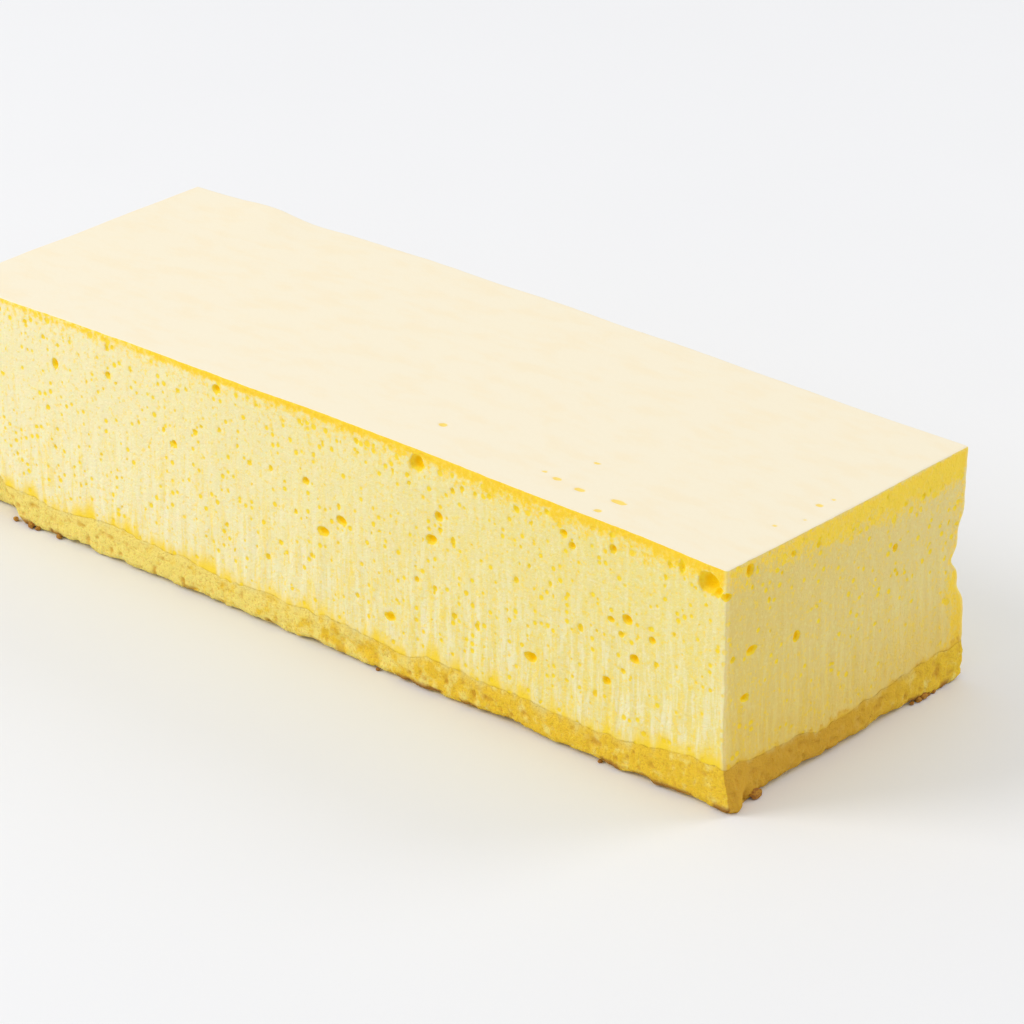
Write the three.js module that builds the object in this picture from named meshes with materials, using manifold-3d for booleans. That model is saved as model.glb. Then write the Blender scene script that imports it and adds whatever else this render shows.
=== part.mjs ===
// A bar of set cheesecake on a thin sheet of sponge, trimmed with a knife on all four sides.
// Millimetres, +Z up. The origin is the middle of the underside, +X runs along the bar, the long
// front face looks towards -Y and the short cut end that shows looks towards +X.

import * as THREE from 'three';
import { mergeVertices } from 'three/addons/utils/BufferGeometryUtils.js';
import Module from 'manifold-3d';

const { lerp, smoothstep, seededRandom } = THREE.MathUtils;

// The block.
const LENGTH = 186;
const WIDTH = 65;
const HEIGHT = 45; // at the two ends
const CROWN = 1.1; // how much higher the top is halfway along
const UPRIGHT_EDGE = 0.9; // flat that stands for the soft upright edges
const TOP_EDGE = 0.5; // flat that stands for the soft rim of the top
const HALF_LENGTH = LENGTH / 2;
const HALF_WIDTH = WIDTH / 2;

// The two layers.
const SPONGE = 6.5; // mean height of the sponge
const LAYER_GAP = 0.3;
const SEAM_SCALLOP = 1.3; // how far the seam wanders up and down at the cut faces
const SEAM_PITCH = { wide: 13, narrow: 6.5 };
const SEAM_RISE = { height: 1.3, reach: 12 }; // at the corner between the front and the right end
const SEAM_DRAG = { x: 21, depth: 1.8, reach: 5, inwards: 10 }; // drawn down by the knife
const SEAM_CALM = 6; // inwards of this the seam is level
const EDGE_ROUND = 0.25; // least height of the sponge's lower edge above the table
const CRUMBLED_EDGE = 1.1; // how much more of it has crumbled away
const CRUMBLE_PITCH = 5;

// Marks that single cuts and tears have left, by where they are on the bar.
// The chip and the flap of peeled skin are low on the front.
const CUT_WAVER = 0.25;
const WAVER_PITCH = 15;
const TOP_WAVER = { height: 0.12, pitch: 22 };
const FAR_RIM_REACH = 9; // how far in from the far rim its bump and dip fade
const RIM_BUMP = { x: -72, height: 0.6, reach: 8 }; // on the far rim of the top
const RIM_DIP = { x: -62, height: -0.6, reach: 8 };
// The upright edge at the back of the right end, from the top down.
const TORN_LENGTH = 16; // how far the tear runs along the back
const OVERHANG = { out: 0.45, undercut: 1.5, low: 30, high: 33 };
const NOTCH = { z: 24.4, depth: 1.9, reach: 1.7 };
const BELLY = { out: 2.15, low: 15, high: 19.5 };
// The foot of that edge: its lower rim has crumbled little, and only the very corner is worn.
const WHOLE_FOOT = { share: 0.8, reach: 10 };
const WORN_CORNER = { height: 1.2, reach: 2.5 };
const SPONGE_FIN = { y: -30.6, out: 1.8, reach: 2.6, low: 1, top: 9 }; // right end, front corner
const SPONGE_NICK = { y: -27.4, depth: 1.3, reach: 1.2, low: 1, top: 3.5 };
const SPONGE_FLAP = { x: 10.5, reach: 8, z: 3.2, tall: 1.2, crevice: 0.7 };
const CHIP = { x: -76, lean: 0.75, top: 8.5, slope: 2, depth: 3 };

// Air holes on the cut faces, [along the face, height, half width, half height].
const FRONT_HOLES = [
  [89.1, 41.4, 2.0, 2.2],
  [24.3, 43.4, 1.7, 1.7],
  [2.0, 23.5, 1.5, 0.9],
  [6.5, 26.9, 1.3, 0.9],
  [27.5, 29.9, 1.3, 0.9],
  [29.2, 34.8, 1.0, 0.9],
  [50.3, 14.9, 1.4, 1.0],
  [17.7, 11.8, 1.3, 0.8],
  [71.8, 29.2, 1.2, 1.0],
  [73.4, 22.3, 1.1, 0.9],
  [83.4, 42.8, 0.7, 1.2],
  [67.3, 16.2, 1.0, 0.8],
  [-65.7, 36.1, 0.8, 1.1],
  [-51.9, 37.8, 0.8, 0.8],
  [-23.8, 43.2, 1.1, 0.9],
  [-35.2, 29.1, 0.9, 0.8],
];
const RIGHT_HOLES = [
  [-26.5, 43.0, 1.0, 1.2],
  [-13.9, 26.2, 0.9, 1.1],
  [-25.7, 28.2, 1.4, 0.8],
  [-27.2, 19.8, 1.2, 0.8],
  [13.0, 32.8, 0.8, 0.8],
];
// Shallow pinholes in the top, [x, y, half length, half width].
const TOP_HOLES = [
  [21.0, -22.0, 0.9, 0.6],
  [88.0, -14.0, 0.6, 0.6],
  [88.5, -2.9, 0.7, 0.6],
  [55.5, -25.8, 0.8, 0.6],
];
const TOP_HOLE_DEPTH = 0.5;
const STRAY_HOLES = { front: 16, back: 26, right: 5, left: 10 };
const STRAY_BORDER = 4; // how far from a face's ends they stay
const STRAY_HEIGHT = { low: 12, high: 42 };
const STRAY_SIZE = { least: 0.7, most: 1.1, tall: 0.85 };
const STRAY_SEED = 41;

// How finely the faces are divided.
const LONG_STEPS = 52;
const SHORT_STEPS = 18;
const FAN_STEPS = 9; // long steps at each end that a fan of triangles closes over
const HUB_X = HALF_LENGTH - HALF_WIDTH;
const END_FADE = 12; // powers by which the relief of a cut face dies away inwards
const SIDE_FADE = 6;
const FOOT = { inner: 8, outer: 2, round: 0.5 }; // how far in the rings under the sponge lie
const TOP_RIM = 5; // how far in the last ring on the top lies
const SPONGE_PARTS = [0, 0.3, 0.65, 1];
// The cheese's rings stand closest where the torn edge bends most.
const CHEESE_PARTS = [0, 0.06, 0.21, 0.33, 0.4, 0.458, 0.513, 0.6, 0.69, 0.84, 1];
const HOLE_SIDES = 7;
const HOLE_BANDS = 5;

const wasm = await Module();
wasm.setup();

// A hump of height 1 whose flanks end about twice its reach away.
function hump(distance, reach) {
  return Math.exp(-((distance / reach) ** 2));
}

// A steady random number from 0 to 1 for each crossing of a square net.
function chance(column, row, seed) {
  const mixed = Math.sin(column * 12.9898 + row * 78.233 + seed * 37.719) * 43758.5453;
  return mixed - Math.floor(mixed);
}

// A smooth uneven surface from -1 to 1 whose lumps are one pitch apart.
function dapple(u, v, pitch, seed) {
  const column = Math.floor(u / pitch);
  const row = Math.floor(v / pitch);
  const across = smoothstep(u / pitch - column, 0, 1);
  const up = smoothstep(v / pitch - row, 0, 1);
  const near = lerp(chance(column, row, seed), chance(column + 1, row, seed), across);
  const far = lerp(chance(column, row + 1, seed), chance(column + 1, row + 1, seed), across);
  return 2 * lerp(near, far, up) - 1;
}

// Top of the cheese above a point of the plan.
function topHeight(x, y) {
  const crown = CROWN * (1 - (x / HALF_LENGTH) ** 2);
  const farRim = hump(y - HALF_WIDTH, FAR_RIM_REACH);
  const bump = RIM_BUMP.height * hump(x - RIM_BUMP.x, RIM_BUMP.reach);
  const dip = RIM_DIP.height * hump(x - RIM_DIP.x, RIM_DIP.reach);
  const waver = TOP_WAVER.height * dapple(x, y, TOP_WAVER.pitch, 3);
  return HEIGHT + crown + farRim * (bump + dip) + waver;
}

// Distance from a point of the plan in to the nearest side.
function depthInside(x, y) {
  return Math.min(HALF_LENGTH - Math.abs(x), HALF_WIDTH - Math.abs(y));
}

// Height of the seam between sponge and cheese: ragged at the sides, level within.
function seamHeight(x, y) {
  const ragged = 1 - smoothstep(depthInside(x, y), 0, SEAM_CALM);
  const wide = dapple(x, y, SEAM_PITCH.wide, 5);
  const narrow = dapple(x, y, SEAM_PITCH.narrow, 6);
  const scallops = SEAM_SCALLOP * lerp(wide, narrow, 0.45);
  const toCorner = Math.hypot(x - HALF_LENGTH, y + HALF_WIDTH);
  const rise = SEAM_RISE.height * hump(toCorner, SEAM_RISE.reach);
  const drag = SEAM_DRAG.depth * hump(x - SEAM_DRAG.x, SEAM_DRAG.reach)
    * hump(y + HALF_WIDTH, SEAM_DRAG.inwards);
  return SPONGE + ragged * (scallops + rise - drag);
}

// Height of the sponge's crumbled lower edge, which lies on the table further in.
function lowerEdgeHeight(x, y) {
  const crumbled = CRUMBLED_EDGE * (0.5 + 0.5 * dapple(x, y, CRUMBLE_PITCH, 7));
  const toFarCorner = Math.hypot(x - HALF_LENGTH, y - HALF_WIDTH);
  const worn = WORN_CORNER.height * hump(toFarCorner, WORN_CORNER.reach);
  const atFin = hump(Math.hypot(x - HALF_LENGTH, y - SPONGE_FIN.y), SPONGE_FIN.reach);
  const whole = WHOLE_FOOT.share * hump(toFarCorner, WHOLE_FOOT.reach);
  return (EDGE_ROUND + crumbled) * (1 - atFin) * (1 - whole) + worn;
}

// How far each cut face stands out from the plain block; a negative value lies inside it.
function frontRelief(x, z) {
  const behindEdge = smoothstep(CHIP.x - CHIP.lean * z - x, 0, CHIP.slope);
  const chip = CHIP.depth * behindEdge * (1 - smoothstep(z, CHIP.top - CHIP.slope, CHIP.top));
  const crevice = SPONGE_FLAP.crevice * hump(x - SPONGE_FLAP.x, SPONGE_FLAP.reach)
    * hump(z - SPONGE_FLAP.z, SPONGE_FLAP.tall);
  return CUT_WAVER * dapple(x, z, WAVER_PITCH, 11) - chip - crevice;
}

// The back: near the right end it overhangs, is notched below that, and bellies out at the foot.
function backRelief(x, z) {
  const undercut = OVERHANG.undercut * (1 - smoothstep(z, OVERHANG.low, OVERHANG.high));
  const notch = NOTCH.depth * hump(z - NOTCH.z, NOTCH.reach);
  const belly = BELLY.out * (1 - smoothstep(z, BELLY.low, BELLY.high));
  const torn = OVERHANG.out - undercut - notch + belly;
  const nearEnd = smoothstep(x, HALF_LENGTH - TORN_LENGTH, HALF_LENGTH);
  return CUT_WAVER * dapple(x, z, WAVER_PITCH, 12) + nearEnd * torn;
}

function rightRelief(y, z) {
  const fin = SPONGE_FIN.out * hump(y - SPONGE_FIN.y, SPONGE_FIN.reach)
    * (1 - smoothstep(z, SPONGE_FIN.low, SPONGE_FIN.top));
  const nick = SPONGE_NICK.depth * hump(y - SPONGE_NICK.y, SPONGE_NICK.reach)
    * (1 - smoothstep(z, SPONGE_NICK.low, SPONGE_NICK.top));
  return CUT_WAVER * dapple(y, z, WAVER_PITCH, 13) + fin - nick;
}

// The left end has the same kind of sponge fin as the right one, at its back corner.
function leftRelief(y, z) {
  const fin = SPONGE_FIN.out * hump(y + SPONGE_FIN.y, SPONGE_FIN.reach)
    * (1 - smoothstep(z, SPONGE_FIN.low, SPONGE_FIN.top));
  return CUT_WAVER * dapple(y, z, WAVER_PITCH, 14) + fin;
}

// Moves a point of the plain block to where the cut and torn surface really is.
function shaped(x, y, z) {
  const acrossEnds = (Math.abs(x) / HALF_LENGTH) ** END_FADE;
  const acrossSides = (Math.abs(y) / HALF_WIDTH) ** SIDE_FADE;
  const endRelief = x > 0 ? rightRelief(y, z) : -leftRelief(y, z);
  const sideRelief = y > 0 ? backRelief(x, z) : -frontRelief(x, z);
  return new THREE.Vector3(x + acrossEnds * endRelief, y + acrossSides * sideRelief, z);
}

// The plan of the block, anticlockwise from above, with its four corners cut off a little.
function planPoints() {
  const reachX = HALF_LENGTH - UPRIGHT_EDGE;
  const reachY = HALF_WIDTH - UPRIGHT_EDGE;
  const sides = [
    [-reachX, -HALF_WIDTH, reachX, -HALF_WIDTH, LONG_STEPS],
    [HALF_LENGTH, -reachY, HALF_LENGTH, reachY, SHORT_STEPS],
    [reachX, HALF_WIDTH, -reachX, HALF_WIDTH, LONG_STEPS],
    [-HALF_LENGTH, reachY, -HALF_LENGTH, -reachY, SHORT_STEPS],
  ];
  const points = [];
  for (const [startX, startY, endX, endY, steps] of sides) {
    for (let step = 0; step <= steps; step += 1) {
      const part = step / steps;
      points.push(new THREE.Vector2(lerp(startX, endX, part), lerp(startY, endY, part)));
    }
  }
  return points;
}

const PLAN = planPoints();

// One ring round the block: the plan drawn in by an inset, at the height that a rule gives.
function ring(inset, heightAt) {
  return PLAN.map((point) => {
    const x = point.x * (1 - inset / HALF_LENGTH);
    const y = point.y * (1 - inset / HALF_WIDTH);
    return shaped(x, y, heightAt(x, y));
  });
}

// The two points, near the ends of a level face, from which fans of triangles close it.
function hubs(heightAt) {
  return [-HUB_X, HUB_X].map((x) => new THREE.Vector3(x, 0, heightAt(x, 0)));
}

// Triangles that close a ring: rungs across the middle, and a fan from a hub at each end.
function capFaces(first, leftHub, rightHub) {
  const count = PLAN.length;
  const onRing = (i) => first + (i % count);
  const opposite = (i) => 2 * LONG_STEPS + SHORT_STEPS + 2 - i;
  const faces = [];
  const fan = (from, to, hub) => {
    for (let i = from; i < to; i += 1) {
      faces.push([onRing(i), onRing(i + 1), hub]);
    }
    faces.push([onRing(to), onRing(from), hub]);
  };
  for (let i = FAN_STEPS; i < LONG_STEPS - FAN_STEPS; i += 1) {
    faces.push([onRing(i), onRing(i + 1), onRing(opposite(i + 1))]);
    faces.push([onRing(i), onRing(opposite(i + 1)), onRing(opposite(i))]);
  }
  fan(LONG_STEPS - FAN_STEPS, opposite(LONG_STEPS - FAN_STEPS), rightHub);
  fan(opposite(FAN_STEPS), count + FAN_STEPS, leftHub);
  return faces;
}

// Joins rings, from the underside out, up and in to the top, into a solid.
// Each four-sided patch folds along its lower diagonal, so that facing layers fold alike.
function loft(rings, lowHubs, highHubs) {
  const count = PLAN.length;
  const points = [...rings.flat(), ...lowHubs, ...highHubs];
  const index = [];
  for (let band = 0; band + 1 < rings.length; band += 1) {
    for (let i = 0; i < count; i += 1) {
      const a = band * count + i;
      const b = band * count + ((i + 1) % count);
      const c = b + count;
      const d = a + count;
      const foldsFromA = points[a].z + points[c].z <= points[b].z + points[d].z;
      index.push(...(foldsFromA ? [a, b, c, a, c, d] : [a, b, d, b, c, d]));
    }
  }
  const hub = rings.length * count;
  for (const [a, b, c] of capFaces(0, hub, hub + 1)) {
    index.push(c, b, a);
  }
  for (const face of capFaces(hub - count, hub + 2, hub + 3)) {
    index.push(...face);
  }
  const geometry = new THREE.BufferGeometry().setFromPoints(points);
  geometry.setIndex(index);
  return geometry;
}

// The sponge: flat below, crumbled along its lower edge, ragged where it meets the cheese.
function spongeGeometry() {
  const onTable = () => 0;
  const upSide = (part) => (x, y) => lerp(lowerEdgeHeight(x, y), seamHeight(x, y), part);
  const rings = [
    ring(FOOT.inner, onTable),
    ring(FOOT.outer, onTable),
    ring(FOOT.round, (x, y) => 0.35 * lowerEdgeHeight(x, y)),
    ...SPONGE_PARTS.map((part) => ring(0, upSide(part))),
    ring(SEAM_CALM, seamHeight),
  ];
  return loft(rings, hubs(onTable), hubs(seamHeight));
}

// The cheese: its underside follows the seam, and its top is crowned.
function cheeseGeometry() {
  const underside = (x, y) => seamHeight(x, y) + LAYER_GAP;
  const upSide = (part) => (x, y) => lerp(underside(x, y), topHeight(x, y) - TOP_EDGE, part);
  const rings = [
    ring(SEAM_CALM, underside),
    ...CHEESE_PARTS.map((part) => ring(0, upSide(part))),
    ring(TOP_EDGE, topHeight),
    ring(TOP_RIM, topHeight),
  ];
  return loft(rings, hubs(underside), hubs(topHeight));
}

// A point on each cut face, from the distance along it and the height.
const FACES = {
  front: (along, z) => shaped(along, -HALF_WIDTH, z),
  back: (along, z) => shaped(along, HALF_WIDTH, z),
  right: (along, z) => shaped(HALF_LENGTH, along, z),
  left: (along, z) => shaped(-HALF_LENGTH, along, z),
};

function isLong(face) {
  return face === 'front' || face === 'back';
}

// A low-sided egg whose poles point out of the face; cut out, it leaves an air hole.
function sideHole(face, along, z, half, tall) {
  const egg = new THREE.SphereGeometry(1, HOLE_SIDES, HOLE_BANDS);
  egg.scale(half, half, tall);
  if (!isLong(face)) {
    egg.rotateZ(Math.PI / 2);
  }
  return egg.translate(...FACES[face](along, z));
}

function topHole(x, y, halfX, halfY) {
  const egg = new THREE.SphereGeometry(1, HOLE_SIDES, HOLE_BANDS);
  egg.rotateX(Math.PI / 2);
  egg.scale(halfX, halfY, TOP_HOLE_DEPTH);
  return egg.translate(x, y, topHeight(x, y));
}

// Holes strewn over a face, smaller than the named ones and clear of its edges.
function strayHoles(face, count) {
  const reach = (isLong(face) ? HALF_LENGTH : HALF_WIDTH) - STRAY_BORDER;
  const holes = [];
  for (let i = 0; i < count; i += 1) {
    const along = lerp(-reach, reach, (i + 0.15 + 0.7 * seededRandom()) / count);
    const z = lerp(STRAY_HEIGHT.low, STRAY_HEIGHT.high, seededRandom());
    const half = lerp(STRAY_SIZE.least, STRAY_SIZE.most, seededRandom() ** 2);
    holes.push(sideHole(face, along, z, half, STRAY_SIZE.tall * half));
  }
  return holes;
}

function airHoles() {
  seededRandom(STRAY_SEED);
  return [
    ...FRONT_HOLES.map((size) => sideHole('front', ...size)),
    ...RIGHT_HOLES.map((size) => sideHole('right', ...size)),
    ...TOP_HOLES.map((size) => topHole(...size)),
    ...Object.entries(STRAY_HOLES).flatMap(([face, count]) => strayHoles(face, count)),
  ];
}

function solid(geometry) {
  const bare = geometry.clone();
  bare.deleteAttribute('normal');
  bare.deleteAttribute('uv');
  const merged = mergeVertices(bare, 1e-5);
  return new wasm.Manifold(new wasm.Mesh({
    numProp: 3,
    vertProperties: new Float32Array(merged.attributes.position.array),
    triVerts: new Uint32Array(merged.index.array),
  }));
}

function geometryOf(body) {
  const mesh = body.getMesh();
  const geometry = new THREE.BufferGeometry();
  geometry.setAttribute('position', new THREE.BufferAttribute(mesh.vertProperties, 3));
  geometry.setIndex(new THREE.BufferAttribute(mesh.triVerts, 1));
  return geometry;
}

function layer(name, geometry, color, roughness) {
  geometry.computeVertexNormals();
  const material = new THREE.MeshStandardMaterial({ color, roughness, metalness: 0 });
  const mesh = new THREE.Mesh(geometry, material);
  mesh.name = name;
  return mesh;
}

const cheese = airHoles().reduce(
  (block, egg) => block.subtract(solid(egg)),
  solid(cheeseGeometry()),
);

const cheesecake = new THREE.Group();
cheesecake.add(layer('cheese_body', geometryOf(cheese), '#f4e5b2', 0.62));
cheesecake.add(layer('sponge_base', spongeGeometry(), '#e6b84c', 0.85));

export default cheesecake;
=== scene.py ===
"""A bar of pale aerated cheesecake on a thin golden sponge, trimmed with a knife on all sides.

The block and its marks are worked out in millimetres, as in a kitchen, and every finished mesh is
brought to metres once its shape is done. +X runs along the bar and -Y is the long front face.
"""

import math

import bmesh
import bpy
import numpy as np
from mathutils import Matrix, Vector


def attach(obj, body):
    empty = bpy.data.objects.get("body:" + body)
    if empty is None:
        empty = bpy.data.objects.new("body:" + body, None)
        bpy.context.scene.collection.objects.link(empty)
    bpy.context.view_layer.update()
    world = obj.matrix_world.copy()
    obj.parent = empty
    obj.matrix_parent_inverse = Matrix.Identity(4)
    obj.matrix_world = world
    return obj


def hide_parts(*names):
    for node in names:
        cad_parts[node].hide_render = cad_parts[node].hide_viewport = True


bl_info = {
    "name": "Cheesecake Bar",
    "version": (1, 0, 0),
    "blender": (4, 5, 0),
    "location": "3D View > Sidebar > Cake",
    "description": "Builds a straight-cut cheesecake bar with its sponge base and crumbs",
    "category": "Add Mesh",
}

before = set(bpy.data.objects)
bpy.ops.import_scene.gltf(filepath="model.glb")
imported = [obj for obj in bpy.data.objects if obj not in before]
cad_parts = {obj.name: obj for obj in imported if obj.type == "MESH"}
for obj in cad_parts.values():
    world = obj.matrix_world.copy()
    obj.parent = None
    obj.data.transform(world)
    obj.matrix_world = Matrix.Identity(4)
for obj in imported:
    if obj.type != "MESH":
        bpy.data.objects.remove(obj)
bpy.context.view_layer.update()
MM = 0.001
ENDS = ("right", "left")  # the two short faces

# Marks that single cuts and tears have left, in millimetres.
FAR_RIM_REACH = 9  # how far in from the far rim its bump and dip fade
RIM_BUMP = {"x": -72, "height": 0.6, "reach": 8}
RIM_DIP = {"x": -62, "height": -0.6, "reach": 8}
OVERHANG = {"out": 0.45, "heights": (30, 33), "undercut": 1.5, "along": 16}
NOTCH = {"z": 24.4, "depth": 1.9, "reach": 1.7}
BELLY = {"out": 2.15, "heights": (15, 19.5)}
WHOLE_FOOT = {"share": 0.95, "reach": 10}
WORN_CORNER = {"height": 0.3, "reach": 2.5}
SPONGE_FIN = {"y": -30.6, "out": 1.8, "reach": 2.6, "heights": (1, 9), "foot": 2.5}
SPONGE_NICK = {"y": -27.4, "depth": 1.3, "reach": 1.2, "heights": (1, 3.5)}
SPONGE_FLAP = {"x": 10.5, "reach": 8, "z": 3.2, "tall": 1.2, "crevice": 0.7}
CHIP = {"x": -76, "lean": 0.75, "top": 8.5, "slope": 2, "lip": 1.5, "depth": 3}
END_FADE = 12  # powers by which the relief of a cut face dies away inwards
SIDE_FADE = 6

# The seam between the layers and the lower edge of the sponge, in millimetres.
SEAM_CALM = 6.0  # inwards of this the seam is level
SEAM_SCALLOP = 1.3
SEAM_RISE = {"height": 1.3, "reach": 12}  # at the corner between the front and the right end
SEAM_DRAG = {"x": 21, "depth": 1.8, "reach": 5, "inwards": 10}  # drawn down by the knife
SEAM_SINK = 0.06  # how deep the cheese sits in the top of the sponge
SEAM_LEDGE = 0.02  # how far the sponge stands out from the cheese at the seam
LOWER_EDGE = {"least": 0.02, "round": 0.25, "crumbled": 1.1}
LOWER_EDGE_REACH = (0.2, 2.0)  # how far in under the sponge its lower edge is raised

# Uneven surfaces, each a sum of layers (height, pitch, how many times taller than wide).
TOP_WAVER = [(0.12, 22, 1)]
TOP_GRAIN = [(0.03, 3.5, 1)]
CUT_WAVER = [(0.25, 15, 1)]
SEAM_WAVES = [(0.55, 13, 1), (0.45, 6.5, 1)]
SEAM_GRAIN = [(0.45, 2.6, 1), (0.25, 1.2, 1)]
CRUMBLED_WAVES = [(0.5, 5, 1)]
CRUMBLED_GRAIN = [(0.35, 1.6, 1)]
HOLE_EDGE = [(0.25, 0.8, 1)]
KNIFE_DRAGS = [(1.0, 1.15, 7), (0.7, 2.4, 4)]
KNIFE_GRIT = [(1.0, 1.7, 1), (0.7, 0.9, 1)]
GOLDEN_STREAKS = [(0.9, 4.5, 8), (1.8, 1.3, 9), (0.5, 0.7, 3)]
SEEDS = {
    "top": 3, "seam": 5, "crumbled": 7, "front": 11, "back": 12, "right": 13, "left": 14,
    "seam_grain": 21, "crumbled_grain": 23, "hole": 31, "drag": 40, "top_grain": 61,
    "band": 81, "blotch": 82, "faint": 83, "stain": 85, "golden": 90, "edge_highlight": 95,
    "clump": 101, "small_clump": 111, "cell": 121, "browned": 131,
    "crumb": 141, "crumb_grain": 142, "strays": 41, "crumbs": 7,
}

# What the colours follow on the cut faces, in millimetres and in shares from 0 to 1.
DRAG_STRENGTH = (0.3, 1.0)  # of the knife's drags, above and below
DRAG_FADE = (10, 34)
DRAG_COLOUR_FADE = (12, 36)
DRAG_DEPTH = 0.13
GRIT_DEPTH = 0.05
DRAG_ABOVE_SEAM = 1.5  # how far above the seam the drags reach their full depth
DRAG_WEAKER_ON_ENDS = 0.2
END_TINGE = {"share": 0.36, "height": 18}  # sponge colour that reaches up the short faces
GOLDEN_FADE = {"end": (-0.6, 1.7), "long": (-1.2, 3.4), "end_wander": 0.45}
BLOTCH_PITCH = 1.5
# On the short faces the band is partly the skin's own yellow and partly painted glow of light
# through the rim, stronger towards the far edge.
END_BAND_AND_GLOW = {
    "across": (-30, 20), "reach": (3.4, 6.2), "strength": (0.62, 0.92), "speckle": 0.06,
    "waves": 1.3, "pitch": 6, "blotches": 0.9, "rim": (0.1, 0.5), "fade": (-3.5, 3),
}
RIM_LINE = {
    "from": 0.8, "to": 2.2, "blotches": 0.6, "along": (-75, -20), "strength": (0.62, 0.95),
}
FAINT_BAND = {
    "share": 0.48, "blotches": 0.25, "from": 1.0, "to": 6.0, "waves": 1.5, "pitch": 5,
    "along": (-60, 80), "strength": (0.7, 1.6),
}
TORN_STAIN = {
    "edge": 33.0, "reach": 9.0, "waves": 3.0, "pitch": 2.5,
    "below_notch": (5, 1), "share": (0.45, 0.85),
}
# Painted highlight along the four upright edges, where their rounding catches the light.
EDGE_HIGHLIGHT = {"width": (0.2, 1.0), "share": 0.8, "blotches": 0.2, "pitch": 3.0}
SOFT_FROM_SEAM = {"cheese": (0.3, 3.0), "sponge": (0.3, 2.5)}

# The open crumb of the sponge, in millimetres.
CLUMPS = {"height": 0.42, "pitch": 2.1}
SMALL_CLUMPS = {"height": 0.2, "pitch": 1.0}
CELLS = {"pitch": 1.25, "rarity": 0.4, "depth": 0.6}
CRUMB_SET_BACK = 0.3
OPEN_BELOW_SEAM = (0.1, 1.8)
WORN_EDGE = {"depth": 0.4, "height": 0.9}
BROWNED = {"pitch": 4.0, "share": (0.1, 0.4), "heights": (0.9, 2.0)}

# Nets of the meshes, in millimetres.
NET_PITCH = 3.0
NET_BORDERS = [0.25, 0.5, 1.0]  # closer cuts near both ends
CHEESE_LEVELS = {"first": 0.4, "last": 1.0, "count": 12}
SPONGE_LEVELS = [0.35, 1.6, 3.2, 4.8]
SPONGE_LAST_LEVEL = 0.35
ON_FACE = 1e-3  # how near a point is to count as lying on a face
LEVEL_WITHIN = 1e-4

# The small holes strewn between the others.
STRAYS = {"border": 2, "height": (9, 40), "half": (0.3, 0.62)}
RIM_ROW = {"height": (39.5, 43.8), "half": (0.3, 0.6), "share_on_ends": 4}
STRAY_TALL = (0.75, 1.15)
HOLE_BOWL = {"margin": 1.6, "round": 0.6, "full_size": 0.9, "steepness": (0.45, 0.7)}
LARGE_HOLE = 0.65  # half width above which the net is finer
TOP_HOLE_DEPTH = 0.7

# The air holes that stand out, (along the face, height, half width, half height).
FRONT_HOLES = [
    (89.1, 41.6, 2.4, 2.0), (91.2, 40.6, 1.3, 1.1), (92.7, 40.0, 0.7, 0.7), (24.3, 43.4, 1.7, 1.7),
    (2.0, 23.5, 1.5, 0.9), (6.5, 26.9, 1.3, 0.9), (27.5, 29.9, 1.3, 0.9), (29.2, 34.8, 1.0, 0.9),
    (32.5, 31.1, 0.6, 0.8), (29.6, 32.2, 0.7, 0.5), (50.3, 14.9, 1.4, 1.0), (17.7, 11.8, 1.3, 0.8),
    (71.8, 29.2, 1.2, 1.0), (68.3, 28.1, 0.8, 0.6), (70.4, 25.9, 0.7, 0.6), (77.2, 27.1, 0.8, 0.7),
    (73.4, 22.3, 1.1, 0.9), (83.4, 42.8, 0.7, 1.2), (80.8, 42.2, 0.6, 0.6), (57.8, 40.8, 0.9, 0.7),
    (59.7, 39.0, 0.8, 0.7), (68.5, 41.2, 0.8, 0.8), (47.2, 41.9, 0.6, 0.6), (67.3, 16.2, 1.0, 0.8),
    (61.5, 24.2, 0.6, 0.8), (47.2, 28.6, 0.6, 0.6), (32.9, 17.0, 0.6, 0.6), (38.2, 16.7, 0.6, 0.6),
    (24.1, 21.1, 0.6, 0.6), (28.3, 20.8, 0.6, 0.6), (-8.7, 17.8, 0.6, 0.5),
    (-16.2, 31.1, 0.6, 0.5), (-10.8, 31.6, 0.6, 0.6), (-2.1, 31.9, 0.8, 0.8),
    (-65.7, 36.1, 0.8, 1.1), (-51.9, 37.8, 0.7, 0.7), (-23.8, 43.2, 1.1, 0.9),
    (-35.2, 29.1, 0.8, 0.7), (-29.6, 33.1, 0.7, 0.5),
]
RIGHT_HOLES = [
    (-32.4, 40.2, 1.0, 0.8), (-26.5, 43.0, 1.0, 1.2), (-13.9, 26.2, 0.9, 1.1),
    (-25.7, 28.2, 1.4, 0.8), (-27.2, 19.8, 1.2, 0.8), (-30.5, 28.1, 0.6, 0.6),
    (-21.5, 35.8, 0.5, 0.6), (-8.5, 41.2, 0.6, 0.6), (-15.2, 41.9, 0.7, 0.6),
    (13.0, 32.8, 0.8, 0.8), (13.3, 28.4, 0.5, 0.5),
]
# The same for the top, (along, across, half length, half width).
TOP_HOLES = [
    (21.0, -22.0, 0.9, 0.7), (88.5, -2.9, 0.7, 0.6), (88.9, 0.5, 0.5, 0.4), (90.1, -8.8, 0.4, 0.4),
    (87.9, -14.0, 0.5, 0.4), (63.0, -29.9, 0.8, 0.6), (55.5, -25.8, 1.2, 0.6),
    (63.5, -25.1, 1.7, 0.7), (49.9, -25.1, 1.0, 0.5), (46.5, -24.4, 0.7, 0.3),
    (50.9, -15.9, 0.8, 0.4),
]
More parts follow.
